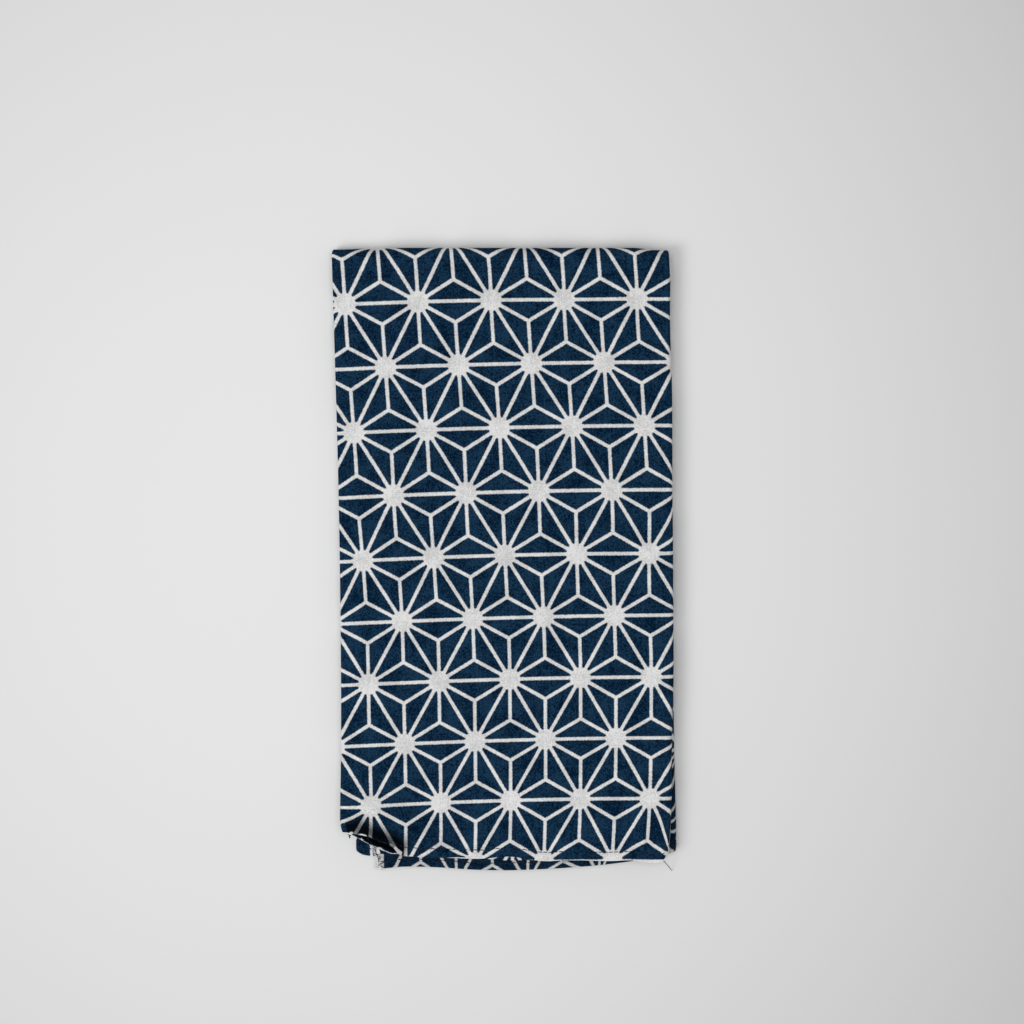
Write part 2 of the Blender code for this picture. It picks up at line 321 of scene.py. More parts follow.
def hemLine(acrossFlat, half):
    # how far down this part of the cloth reaches
    spot = panelAt(acrossFlat)
    nearX = sectionX(spot, -100 * mm, half, pitch / 2)
    hems = frontHems if half == "front" else backHems
    column = {"b": 1, "c": 2, "d": 3, "a": 4}
    return betweenPanels(spot[0], spot[-1], lambda panel: lookUp(hems, column[panel], nearX))


def untuckedPlace(acrossFlat, alongFlat):
    # where a point of the front pair would lie if its end were not tucked in
    run = (alongFlat - halfTurn) / panelLength
    y = mix(cloth["topFold"], hemLine(acrossFlat, "front"), run)
    return Vector((sectionX(panelAt(acrossFlat), y, "front", leftGap(y)), y))


def tuckIn(place, over, turn, gap):
    # turns the end of the pair in between its layers
    centre = place.copy()
    bulge = 0.0
    if turn is not None:
        bulge = -math.sin(turn)
        centre.x -= bulge * gap
    off = offTuck(centre)
    shape = lipShape(centre)
    spread = pairGap(centre + tuckUp * max(-2 * off, 0))
    fade = 1 - smooth(off / tuck["lipLength"])
    upper = (1 + over) / 2
    rim = tuck["rimLift"] * shape * (1 - upper)
    arch = tuck["lipLift"] * shape * fade * upper
    outer = spread * (1 + over) + arch + rim * (1 - smooth(off / tuck["rimLength"]))
    inner = spread + over * tuck["innerHalf"] * pitch + rim * (1 - smooth(-off / tuck["rimLength"]))
    inner += arch * tuck["lipInside"] * (1 - smooth(-off / tuck["lipLength"]))
    radius = max(abs(outer - inner) / 2, tuck["radius"])
    bend = math.pi * min(max(0.5 - off / (math.pi * radius), 0.0), 1.0)
    weight = (1 + math.cos(bend)) / 2
    newOff = max(abs(off), math.pi * radius / 2) - radius * math.sin(bend)
    place = centre + tuckUp * (newOff - off)
    if bulge:
        acrossWay = Vector((1.0, 0.0))
        turnedWay = acrossWay - 2 * acrossWay.dot(tuckUp) * tuckUp
        reach = gap * weight + tuck["innerHalf"] * pitch * (1 - weight)
        place += bulge * reach * (acrossWay * weight + turnedWay * (1 - weight))
    draw = mix(-tuck["lowerLipOut"], tuck["upperLipBack"], upper) * shape * fade
    place += tuckUp * draw
    return place, outer * weight + inner * (1 - weight)


def creaseHeight(place):
    height = 0.0
    for x0, y0, x1, y1, width, tall in pressing["creases"]:
        start = Vector((x0, y0)) * mm
        line = Vector((x1 - x0, y1 - y0)) * mm
        share = (place - start).dot(line) / line.length_squared
        off = abs((place - start).cross(line)) / line.length / (width * mm)
        if off < 3 and 0 < share < 1:
            height += tall * math.exp(-off * off) * smooth(share * 4) * smooth((1 - share) * 4)
    return height


def foldPoint(acrossFlat, alongFlat):
    # where a point of the flat cloth lies in the packet; alongFlat runs from the top fold
    spot = panelAt(acrossFlat)
    name, turn = spot[0], spot[-1]
    inPair = name in tuckedPair
    level = betweenPanels(name, turn, layerHeight.get) * pitch
    over = {"b": 1.0, "b-c": math.cos(turn or 0), "c": -1.0}.get(name, 0.0)

    isFront = alongFlat >= 0
    run = max(abs(alongFlat) - halfTurn, 0) / panelLength
    held = max(-halfTurn, min(alongFlat, halfTurn))
    angle = math.pi / 2 * (1 - held / halfTurn)

    half = "front" if isFront else "back"
    y = mix(cloth["topFold"], hemLine(acrossFlat, half), run)

    gap = leftGap(y) if inPair and isFront else pitch / 2
    frontX = sectionX(spot, y, "front", gap)
    x = mix(sectionX(spot, y, "back", pitch / 2), frontX, (1 + math.cos(angle)) / 2)
    place = Vector((x, y))

    backLevel = level
    if inPair and isFront:
        place, lift = tuckIn(place, over, turn, gap)
        level = layerHeight["c"] * pitch + lift - bridge(place.x) + cornerLift(place)
    elif name == "a-b" and isFront:
        level -= bridge(x)
    frontLevel = level if isFront else backLevel - (bridge(x) if inPair else 0.0)

    if abs(alongFlat) < halfTurn:
        radius = (frontLevel + backLevel) / 2
        y = cloth["topFold"] + radius * math.sin(angle)
        z = cloth["middleHeight"] + (frontLevel - backLevel) / 2 + radius * math.cos(angle)
    else:
        y = place.y
        z = cloth["middleHeight"] + (frontLevel if isFront else -backLevel)

    up = smooth((z - pitch) / (2 * cloth["middleHeight"]))
    wave = sum(
        h * math.sin(2 * math.pi * (kx * place.x + ky * y) + phase)
        for h, kx, ky, phase in pressing["waves"]
    )
    fromHem = flatHalf - abs(alongFlat)
    ripple = sum(
        h * math.sin(2 * math.pi * k * acrossFlat + phase)
        for h, k, phase in pressing["hemWaves"]
    )
    wave += ripple * (1 - smooth(fromHem / (14 * mm)))
    if name == "b" and isFront:
        wave += creaseHeight(place)
    fromRight, fromLeft, span = pressing["cornerSpan"]
    worn = pressing["cornerDrop"] * smooth((place.x - fromRight) / span)
    worn -= pressing["cornerRise"] * smooth((-fromLeft - place.x) / span)
    z += wave * mm * up
    underHem = 0.14 * mm * (1 - smooth((fromHem - 4.1 * mm) / mm))
    z = max(z, cloth["hemThickness"] / 2 * hemProfile(fromHem) + underHem)
    y -= worn * smooth((y - pressing["cornerFade"][0]) / pressing["cornerFade"][1])
    return Vector((place.x, y, z))


# the print
hempLeaf = {
    # its repeats across and up: start, change per metre right and up, and then
    # how pressing has drawn it out of true, per square decimetre, by xy, yy and xx
    "repeats": (
        (1.9801, 34.297, 1.352, -0.0884, 0.0642, 0.0053),
        (-3.5267, -0.871, 33.957, 0.0176, -0.0615, 0.0627),
    ),
    "bounds": ((-75 * mm, 75 * mm), (-128 * mm, 130 * mm)),
    # how handling has pulled the front half about
    "frontPull": (
        # y; pulled right at the left, middle and right, then up, mm
        (124, 1.35, 1.0, 0.45, -0.10, -0.65, 0.05),
        (114, 1.20, 0.90, 0.50, -0.10, -0.55, -0.25),
        (98, 0.55, 0.25, -0.30, 0.0, -0.35, -0.40),
        (78, 0.15, 0.10, -0.05, 0.05, -0.10, 0.05),
        (58, -0.05, 0.20, 0.15, 0.15, 0.10, 0.25),
        (38, -0.15, 0.15, 0.45, 0.10, 0.0, 0.10),
        (18, -0.30, -0.15, 0.85, -0.40, -0.35, -0.30),
        (-2, 0.35, -0.10, 0.15, -0.50, -0.35, -0.45),
        (-22, 0.70, 0.25, 0.05, -0.40, -0.40, -0.25),
        (-42, 0.50, 0.40, 0.35, -0.25, -0.25, -0.25),
        (-62, 0.15, 0.20, 0.30, -0.20, -0.25, -0.30),
        (-82, 0.15, 0.15, 0.20, -0.20, -0.05, -0.10),
        (-104, 0.20, 0.10, -0.30, -0.10, 0.10, -0.25),
        (-116, 0.0, -0.10, -0.85, 0.05, 0.10, -0.40),
        (-124, 0.0, -0.25, -1.00, 0.15, -0.60, -1.35),
    ),
    # and where it is drawn aside in one place: x, y, half width, half height, right, up, mm
    "puckers": (
        (-32, 121, 16, 7, 0.0, 0.45),
        (31, 115, 22, 12, 0.0, -0.47),
        (61, 119, 9, 9, -0.35, 0.0),
        (28, -112, 24, 7, 0.0, -0.27),
        (-20, -122.4, 8, 1.3, 0.0, 3.2),
        (61.5, -115.5, 4, 4.5, 0.0, -1.0),
        (-70, -108, 7, 5, 0.0, 2.1),
    ),
    # how far the back half is pulled out of line with the front
    "backPull": (
        # across the print, to its right, up, mm
        (-90, -0.25, -3.5), (-60, -0.25, -3.5), (20, -3.4, -3.6), (62, -5.4, -1.6),
        (68, -6.1, -2.4), (72, -6.3, -4.4), (81, -8.4, -3.0), (96.5, -14.0, 4.3),
        (99.5, -13.3, 4.2), (102.5, -12.8, 4.0), (114, -13.5, 3.3), (124, -13.9, 3.4),
        (130, -13.2, 3.5), (138, -13.7, 3.3), (142, -13.2, 3.2), (153.5, -13.75, 3.2),
        (162, -13.15, 3.2), (172, -13.2, 3.7), (181, -12.75, 4.2), (184.5, -12.8, 4.3),
        (187.5, -14.3, 4.3), (191, -14.4, 4.4),
    ),
    # how far panels c and a lie askew under b: right, up, from this far off their fold, over
    "innerPull": (12.9 * mm, -10.2 * mm, 20 * mm, 40 * mm),
    "lowerPull": (9.8 * mm, 2.8 * mm, 40 * mm, 50 * mm),
    "leafLean": -0.15,              # the leaf below the hem leans
    # the lower right corner rolls over, which draws the lines to its fold
    "cornerRoll": 11.4 * mm,
    "cornerEdge": 2.05 * mm,
    "foldDraw": 1.4,
    "lineWidth": 0.046,             # these three in repeats
    "leafLineWidth": 0.0375,
    "starRadius": 0.14,
}


def pullAcross(x, y, column):
    # from the values at the left, middle and right
    share = min(max(x / (60 * mm), -1.15), 1.15)
    left, middle, right = (lookUp(hempLeaf["frontPull"], column + i, y) for i in range(3))
    pull = left * share * (share - 1) / 2 + middle * (1 - share * share)
    pull += right * share * (share + 1) / 2
    return pull * (1 - smooth((x - 66 * mm) / (5 * mm)))


def pullPrint(x, y):
    right, up = pullAcross(x, y, 1), pullAcross(x, y, 4)
    for centreX, centreY, wide, tall, aside, raised in hempLeaf["puckers"]:
        near = math.exp(-((x / mm - centreX) / wide) ** 2 - ((y / mm - centreY) / tall) ** 2)
        right += aside * mm * near
        up += raised * mm * near
    return x - right, y - up


def nearCorner(y):
    return smooth((-98 * mm - y) / (13 * mm))


def cornerDraw(inside, y):
    # how much more cloth there is up to this distance from the right fold
    radius = hempLeaf["cornerRoll"]
    level = min(max(inside, hempLeaf["cornerEdge"]), radius)
    rolled = radius * math.asin((radius - level) / radius) - (radius - level)
    return nearCorner(y) * rolled


def layAskew(x, y, panel, fromFold):
    right, up, start, over = hempLeaf[panel]
    askew = smooth((fromFold - start) / over) * smooth((60 * mm - y) / (150 * mm))
    return x + right * askew, y + up * askew


def printPlace(acrossFlat, alongFlat):
    # print coordinates run on from panel b over the folds to the others
    name, share = panelAt(acrossFlat)[:2]
    beforeB = panels[0][1] + panels[1][1]
    afterB = beforeB + panels[2][1]
    inFront = alongFlat > halfTurn
    overTop = max(halfTurn - alongFlat, 0)
    y = cloth["topFold"]
    if inFront:
        y = mix(y, hemLine(acrossFlat, "front"), (alongFlat - halfTurn) / panelLength)
    gap = leftGap(y) if inFront else pitch / 2
    left, right = foldAxes("front", y, gap)
    if name in ("a", "a-b"):
        fromFold = beforeB - acrossFlat
        x = right + beforeB - acrossFlat
        if inFront:
            turned = min(fromFold, 3.6 * mm)
            x += cornerDraw(0.0, y) + nearCorner(y) * hempLeaf["foldDraw"] * turned
            x, y = layAskew(x, y, "lowerPull", fromFold)
    elif name == "b":
        x = mix(right, left, share)
        if inFront:
            x += cornerDraw(right + hempLeaf["cornerEdge"] - x, y)
    elif name == "b-c":
        x = left - gap * math.pi * share
    else:
        fromFold = acrossFlat - afterB - panels[3][1]
        x = left - gap * math.pi - fromFold
        if inFront:
            x, y = layAskew(x, y, "innerPull", fromFold)

    if inFront and name in tuckedPair:
        centre = Vector((x, y))
        fade = 1 - smooth(offTuck(centre) / tuck["lipLength"])
        drawn = tuckUp * (tuck["upperLipBack"] * lipShape(centre) * fade)
        x += drawn.x
        y += drawn.y
    x, y = pullPrint(x, y)
    if not inFront:
        grown = smooth(overTop / (200 * mm))
        y += overTop
        pulls = hempLeaf["backPull"]
        x, y = x + lookUp(pulls, 1, x) * grown, y + lookUp(pulls, 2, x) * grown
        if name == "a":
            fromHem = flatHalf + alongFlat
            near = 1 - smooth((fromHem - 12 * mm) / (30 * mm))
            x += hempLeaf["leafLean"] * (4.5 * mm - fromHem) * near
    boundX, boundY = (
        min(max(value, low), high) * 10 for value, (low, high) in zip((x, y), hempLeaf["bounds"])
    )
    return [
        start + perX * x + perY * y + bowXY * boundX * boundY
        + bowYY * boundY * boundY + bowXX * boundX * boundX
        for start, perX, perY, bowXY, bowYY, bowXX in hempLeaf["repeats"]
    ]


def hemProfile(fromHem):
    # thickness as a share of the hem's
    plain = cloth["thickness"] / cloth["hemThickness"]
    d = fromHem / mm
    if d < 0.7:
        return mix(0.62, 1.0, math.sqrt(max(d, 0.0) / 0.7))
    if d < 3.1:
        return 1.0
    if d < 3.6:
        return mix(1.0, 0.78, smooth((d - 3.1) / 0.5))
    if d < 4.1:
        return mix(0.78, 0.92, smooth((d - 3.6) / 0.5))
    return mix(0.92, plain, smooth((d - 4.1) / 0.7))


def acrossLines():
    # grid lines across the flat cloth, fine where it shows and at the tuck
    steps = {"a": (3.2, 2.6), "b": (2.3, 1.25), "c": (6.0, 1.25), "d": (7.0, 4.0)}
    lines = [0.0]
    start = 0.0
    for name, length, _, _, cells in panels:
        if cells:
            inner = [length * i / cells for i in range(1, cells)]
        else:
            inner = []
            d = 0.0
            while True:
                d += steps[name][0 if d < 96 * mm else 1] * mm
                if d > length - 0.6 * mm:
                    break
                inner.append(d)
            if name in ("a", "c"):
                inner = [length - d for d in reversed(inner)]
        lines += [start + d for d in inner] + [start + length]
        start += length
    return lines


def alongLines():
    # grid lines from the back hem over the top fold to the front hem
    nearHem = [0, 0.12, 0.35, 0.75, 1.4, 2.2, 3.0, 3.3, 3.6, 3.9, 4.2, 4.5, 4.85, 5.5, 6.6]
    front = [d * mm for d in nearHem]
    back = list(front)
    while front[-1] < panelLength - 2 * mm:
        step = 1.6 if front[-1] < 30 * mm else 2.6
        front.append(front[-1] + step * mm)
    while back[-1] < panelLength - 3 * mm:
        back.append(back[-1] + 4.2 * mm)
    turnSteps = 18
    turn = [-halfTurn + 2 * halfTurn * i / turnSteps for i in range(turnSteps + 1)]
    return [-flatHalf + d for d in back] + turn + [flatHalf - d for d in reversed(front)]


def markTuckCrease(flatMesh):
    # strips along the tuck's crease, on both sides of the left fold
    foldAcross = sum(panel[1] for panel in panels[:3]) + 0.25 * pitch * math.pi
    hemY = lookUp(frontHems, 1, tuck["foldEnd"].x)
    scale = panelLength / (cloth["topFold"] - hemY)
    foldAlong = halfTurn + (cloth["topFold"] - tuck["foldEnd"].y) * scale
    sideTurn = 0.25 * pitch * math.pi
    for way in (-1, 1):
        along = Vector((way * tuckRun.x, -tuckRun.y * scale, 0)).normalized()
        normal = Vector((-along.y, along.x, 0))
        for i in range(tuck["strips"] + 1):
            off = (i / tuck["strips"] - 0.5) * tuck["stripWidth"]
            start = Vector((foldAcross + way * sideTurn, foldAlong - off / tuckUp.y, 0))
            faces = [
                face for face in flatMesh.faces
                if 0 < way * (face.calc_center_median().x - foldAcross) < 32 * mm
                and face.calc_center_median().y > foldAlong - 8 * mm
            ]
            edges = {edge for face in faces for edge in face.edges}
            corners = {vert for face in faces for vert in face.verts}
            bmesh.ops.bisect_plane(
                flatMesh, geom=faces + list(edges) + list(corners), dist=0.12 * mm,
                plane_co=start, plane_no=normal,
            )


# shade and wear by the tuck: along its line as shares, off it in mm
shading = {
    # starts, rises over, ends, falls over
    "mouth": (-0.2, 0.14, 0.9, 0.16),
    "behind": (-0.2, 0.14, 1.02, 0.12),
    "patch": (0.26, 0.05, 0.38, 0.05),
    "tip": (0.85, 0.04, 1.0, 0.05),
    "ground": (0.02, 0.08, 0.86, 0.08),
    # depth behind the crease and its fade, at the left fold and further in
    "depth": (2.6, 4.6),
    "depthFade": (2.0, 6.0),
    "insideShade": 0.96,
    "behindShade": 0.88,
    # painted shade on the back half where it looks out from under the front: reach from its hem,
    # dimness
    "under": {"a": (9 * mm, 0.28), "a-b": (34 * mm, 0.42)},
}


def inBand(off, middle, half, fade):
    return 1 - smooth((abs(off - middle) - half) / fade)


def tuckTones(acrossFlat, alongFlat):
    # how deep in shade, and how worn to the bare thread, this part is
    name = panelAt(acrossFlat)[0]
    if name in shading["under"] and alongFlat < 0:
        reach, dim = shading["under"][name]
        return dim * (1 - smooth((flatHalf + alongFlat - reach) / (20 * mm))), 0.0
    if name not in tuckedPair or alongFlat < 0:
        return 0.0, 0.0
    place = untuckedPlace(acrossFlat, alongFlat)
    along, off = alongTuck(place), offTuck(place) / mm
    mouth = between(along, *shading["mouth"])
    if name == "b":
        atEnd = smooth((along - 0.8) / 0.1)
        below = 1 - smooth((off + 1.0) / 0.9)
        inside = below * (1 - 0.9 * atEnd) * mouth
        wide = smooth(along / 0.25)
        behind = 1 - smooth((off - mix(*shading["depth"], wide)) / mix(*shading["depthFade"], wide))
        behind *= (1 - atEnd * below) * between(along, *shading["behind"])
        shade = max(shading["insideShade"] * inside, shading["behindShade"] * behind)
        patch = between(along, *shading["patch"]) * inBand(off, 0.75, 0.5, 0.35)
        return shade, max(patch, between(along, *shading["tip"]) * inBand(off, 0.7, 0.6, 0.5))
    worn = smooth((along - 0.24) / 0.1) * inBand(off, -0.2, 0.2, 0.3)
    if worn < 0.05:
        # only plain ground shows beside the worn crease
        worn = -smooth((2.4 - abs(off)) / 0.8) * between(along, *shading["ground"])
    return (1 - smooth((off + 0.9) / 0.5)) * mouth, worn


def keepOnly(*pieces):
    bpy.ops.object.select_all(action="DESELECT")
    for piece in pieces:
        piece.select_set(True)
    bpy.context.view_layer.objects.active = pieces[0] if pieces else None


def putInScene(data):
    piece = bpy.data.objects.new(data.name, data)
    bpy.context.scene.collection.objects.link(piece)
    return piece


def addPiece(name, shape):
    mesh = bpy.data.meshes.new(name)
    shape.to_mesh(mesh)
    shape.free()
    piece = putInScene(mesh)
    keepOnly(piece)
    bpy.ops.object.shade_smooth()
    return piece


def makeCloth():
    across = acrossLines()
    along = alongLines()
    flat = bmesh.new()
    bmesh.ops.create_grid(flat, x_segments=len(across) - 1, y_segments=len(along) - 1, size=1.0)
    for vert in flat.verts:
        i = round((vert.co.x + 1) / 2 * (len(across) - 1))
        j = round((vert.co.y + 1) / 2 * (len(along) - 1))
        vert.co = (across[i], along[j], 0)
    markTuckCrease(flat)

    # the print's and the threads' places are taken while the cloth is flat
    printMap = flat.loops.layers.uv.new("print")
    threadMap = flat.loops.layers.uv.new("threads")
    weights = flat.verts.layers.deform.new()
    # deep holds painted shade by the tuck and under the front hem
    deep = flat.verts.layers.float.new("deep")
    worn = flat.verts.layers.float.new("worn")
    for vert in flat.verts:
        vert[deep], vert[worn] = tuckTones(vert.co.x, vert.co.y)
        printed = printPlace(vert.co.x, vert.co.y)
        threads = (vert.co.x, vert.co.y + flatHalf)
        for loop in vert.link_loops:
            loop[printMap].uv = printed
            loop[threadMap].uv = threads
        vert[weights][0] = hemProfile(flatHalf - abs(vert.co.y))
    for vert in flat.verts:
        vert.co = foldPoint(vert.co.x, vert.co.y)

    piece = addPiece("foldedCloth", flat)
    piece.vertex_groups.new(name="hem")
    body = piece.modifiers.new("thickness", "SOLIDIFY")
    body.thickness = cloth["hemThickness"]
    body.vertex_group = "hem"
    body.offset = 0.0
    body.use_even_offset = True
    body.use_quality_normals = True
    body.material_offset = 1
    body.material_offset_rim = 0
    return piece


foldedCloth = makeCloth()
print("cloth folded:", len(foldedCloth.data.polygons), "faces")


# stitches and loose threads
sewing = {
    "fromHem": {-1: 2.9 * mm, 1: 3.6 * mm},     # back and front
    "stitch": 2.3 * mm,
    "gap": 0.35 * mm,
    "thread": 0.38 * mm,
    "seed": 5,
}


def surfaceFrame(acrossFlat, alongFlat):
    step = 0.3 * mm
    here = foldPoint(acrossFlat, alongFlat)
    nextAcross = foldPoint(min(acrossFlat + step, flatWidth), alongFlat)
    backAcross = foldPoint(max(acrossFlat - step, 0), alongFlat)
    way = 1 if alongFlat > 0 else -1
    inwards = foldPoint(acrossFlat, alongFlat - way * step)
    runAcross = (nextAcross - backAcross).normalized()
    runAlong = (here - inwards).normalized() * way
    normal = runAcross.cross(runAlong).normalized()
    return here, runAcross, normal


def makeStitches():
    # one stitch is shaped, then copied along both hems and on both faces
    keepOnly()
    bpy.ops.mesh.primitive_uv_sphere_add(segments=8, ring_count=6, radius=1.0)
    pattern = bpy.context.active_object
    bpy.ops.object.mode_set(mode="EDIT")
    bpy.ops.transform.rotate(value=math.pi / 2, orient_axis="Y", center_override=(0, 0, 0))
    length = sewing["stitch"] - sewing["gap"]
    bpy.ops.transform.resize(
        value=(length / 2, sewing["thread"] / 2, sewing["thread"] / 2),
        center_override=(0, 0, 0),
    )
    bpy.ops.object.mode_set(mode="OBJECT")
    dice = random.Random(sewing["seed"])
    row = bmesh.new()
    for alongWay, fromHem in sewing["fromHem"].items():
        half = cloth["hemThickness"] / 2 * hemProfile(fromHem)
        place = 1.4 * mm
        while place < flatWidth - 1.4 * mm:
            drift = dice.uniform(-0.08, 0.08) * mm
            alongFlat = alongWay * (flatHalf - fromHem + drift)
            here, runAcross, normal = surfaceFrame(place, alongFlat)
            for face in (-1, 1):
                turned = Matrix((
                    runAcross, normal.cross(runAcross) * face, normal * face,
                )).transposed().to_4x4()
                turned.translation = here + normal * face * (half + 0.05 * mm)
                copy = pattern.data.copy()
                copy.transform(turned)
                for point in copy.vertices:  # pressed flat where the packet lies on it
                    point.co.z = max(point.co.z, 0.02 * mm)
                row.from_mesh(copy)
                bpy.data.meshes.remove(copy)
            place += sewing["stitch"] * dice.uniform(0.93, 1.07)
    bpy.data.objects.remove(pattern, do_unlink=True)
    return addPiece("hemStitches", row)


hemStitches = makeStitches()
print("hems stitched:", len(hemStitches.data.polygons), "faces")


def layThread(points, width, sides=6):
    # a smooth tube along the points, thinner at its ends
    path = bpy.data.curves.new("thread", "CURVE")
    path.dimensions = "3D"
    path.bevel_depth = width / 2
    path.bevel_resolution = max(0, (sides - 4) // 2)
    path.resolution_u = 4
    path.use_fill_caps = True
    spline = path.splines.new("NURBS")
    spline.points.add(len(points) - 1)
    for i, point in enumerate(points):
        spline.points[i].co = (*point, 1.0)
        spline.points[i].radius = 1.0 if 0 < i < len(points) - 1 else 0.6
    spline.use_endpoint_u = True
    spline.order_u = 3
    return putInScene(path)


def joinThreads(name, threads):
    keepOnly(*threads)
    bpy.ops.object.convert(target="MESH")
    if len(threads) > 1:
        bpy.ops.object.join()
    piece = bpy.context.active_object
    piece.name = name
    piece.data.name = name
    bpy.ops.object.shade_smooth()
    return piece


fraying = {
    # count, width, seed, length of selvedge that has come undone
    "selvedge": (46, 0.24 * mm, 11, 9.5 * mm),
    "corner": (10, 0.3 * mm, 14, 3 * mm),
}

# threads given one by one: places in mm, thickness in mm
looseEnds = (
    # a tangle on the lower left corner
    (0.34, (-51.9, -119.2, 5.3), (-51.8, -121.2, 5.6), (-51.2, -122.6, 5.3), (-51.2, -123.9, 5.2)),
    (0.26, (-50.9, -121.5, 5.6), (-50.3, -122.0, 5.9), (-50.7, -122.6, 5.6), (-51.2, -122.1, 5.4)),
    (0.30, (-51.6, -125.7, 4.9), (-50.6, -124.6, 5.4), (-49.4, -124.1, 5.6), (-48.2, -123.5, 5.3)),
    (0.40, (-50.3, -125.3, 5.2), (-49.7, -126.2, 4.9), (-48.9, -126.1, 5.0)),
    (0.28, (-52.7, -118.0, 5.9), (-52.2, -119.4, 6.0), (-52.4, -120.4, 5.5)),
    # the end of the hem's thread at the tuck's left corner
    (0.6, (-62.2, -111.8, 13.5), (-62.7, -112.1, 13.3), (-62.7, -112.8, 12.6),
     (-62.5, -113.3, 11.6)),
    (0.5, (-63.3, -111.7, 13.2), (-62.8, -112.0, 13.4), (-62.0, -112.1, 13.2)),
    # at the lower right corner
    (0.28, (63.4, -121.4, 9.7), (64.7, -122.5, 9.6), (65.7, -123.7, 8.2),
     (67.1, -125.5, 4.2), (68.3, -127.2, 1.2), (68.9, -128.0, 0.4)),
)
# pale ends at the tuck's left corner
paleTufts = (
    (0.52, (-61.2, -110.7, 14.2), (-61.9, -110.6, 14.2), (-62.6, -111.0, 14.0),
     (-62.5, -111.6, 13.7)),
    (0.48, (-61.0, -111.0, 14.3), (-61.8, -111.1, 14.4), (-62.6, -111.4, 14.0),
     (-62.9, -111.0, 13.8)),
    (0.44, (-61.6, -111.4, 14.2), (-62.2, -111.7, 14.0), (-62.8, -111.5, 13.7)),
)


def frayedThreads(count, width, seed, spread):
    # loose weft ends, most of them curled back along the selvedge
    dice = random.Random(seed)
    threads = []
    for _ in range(count):
        alongFlat = -(flatHalf - dice.random() * spread)
        start = foldPoint(0.0004, alongFlat)
        heading = math.pi + dice.uniform(-0.5, 1.3)
        length = dice.uniform(2.2, 4.6) * mm
        points = [start + Vector((1.2, 0, 0.15)) * mm]
        place = start.copy()
        turnRate = dice.choice((-1, 1)) * dice.uniform(0.2, 1.1)
        for _ in range(7):
            points.append(place.copy())
            heading += turnRate * dice.uniform(0.3, 1.1)
            place += Vector((math.cos(heading), math.sin(heading), 0)) * length / 7
            place.y = max(place.y, -127.0 * mm)
            place.z = max(place.z + dice.uniform(-0.35, 0.3) * mm, 0.3 * mm)
        threads.append(layThread(points, width))
    return threads


def laidByHand(rows):
    return [
        layThread([Vector(place) * mm for place in places], width * mm) for width, *places in rows
    ]


frays = [thread for row in fraying.values() for thread in frayedThreads(*row)]
selvedgeFray = joinThreads("selvedgeFray", frays + laidByHand(paleTufts))
looseThreads = joinThreads("looseThreads", laidByHand(looseEnds))
print("threads laid")


# materials
def feed(tree, node, inputs):
    # links or sets inputs, each given by its name or number
    for name, value in inputs:
        if isinstance(value, bpy.types.NodeSocket):
            tree.links.new(value, node.inputs[name])
        else:
            node.inputs[name].default_value = value


def newNode(tree, kind, inputs=(), **settings):
    node = tree.nodes.new("ShaderNode" + kind)
    for name, value in settings.items():
        setattr(node, name, value)
    feed(tree, node, inputs.items() if isinstance(inputs, dict) else inputs)
    return node


def nodeMath(tree, operation, *values, clamp=False):
    node = newNode(tree, "Math", enumerate(values), operation=operation, use_clamp=clamp)
    return node.outputs[0]


def nodeMix(tree, share, first, second, kind="MIX"):
    ends = ((*end, 1.0) if isinstance(end, tuple) else end for end in (first, second))
    inputs = zip((0, 6, 7), (share, *ends))
    return newNode(tree, "Mix", inputs, data_type="RGBA", blend_type=kind).outputs[2]


def nodeRange(tree, value, low, high, toLow, toHigh):
    return newNode(tree, "MapRange", enumerate((value, low, high, toLow, toHigh))).outputs[0]


def nodeNoise(tree, place, scale, detail, stretch=(1, 1, 1)):
    mapped = newNode(tree, "Mapping", {"Vector": place, "Scale": stretch}).outputs[0]
    noise = {"Vector": mapped, "Scale": scale, "Detail": detail}
    return newNode(tree, "TexNoise", noise).outputs["Fac"]


def nodeSpeckle(tree, threads, size):
    # every small square of the cloth differs from the next
    grid = newNode(tree, "VectorMath", {0: threads, 1: (size, size, 1.0)}, operation="SNAP")
    cell = newNode(tree, "TexWhiteNoise", {"Vector": grid.outputs[0]}, noise_dimensions="2D")
    return nodeMath(tree, "SUBTRACT", cell.outputs["Value"], 0.5)


def nodeSplit(tree, vector):
    return newNode(tree, "SeparateXYZ", {0: vector}).outputs[:2]


def newBump(tree, height, strength, distance):
    inputs = {"Height": height, "Strength": strength, "Distance": distance}
    return newNode(tree, "Bump", inputs).outputs["Normal"]


def finishShader(tree, shader, colour, normal, roughness, gloss):
    feed(tree, shader, {
        "Base Color": colour, "Normal": normal, "Roughness": roughness,
        "Specular IOR Level": gloss,
    }.items())


def newMaterial(name):
    material = bpy.data.materials.new(name)
    material.use_nodes = True
    return material, material.node_tree, material.node_tree.nodes["Principled BSDF"]


def newGroup(name, takes, gives):
    group = bpy.data.node_groups.new(name, "ShaderNodeTree")
    for socketName, kind, value in takes:
        socket = group.interface.new_socket(name=socketName, in_out="INPUT", socket_type=kind)
        if value is not None:
            socket.default_value = value
    for socketName in gives:
        group.interface.new_socket(
            name=socketName, in_out="OUTPUT", socket_type="NodeSocketFloat"
        )
    return group, group.nodes.new("NodeGroupInput"), group.nodes.new("NodeGroupOutput")


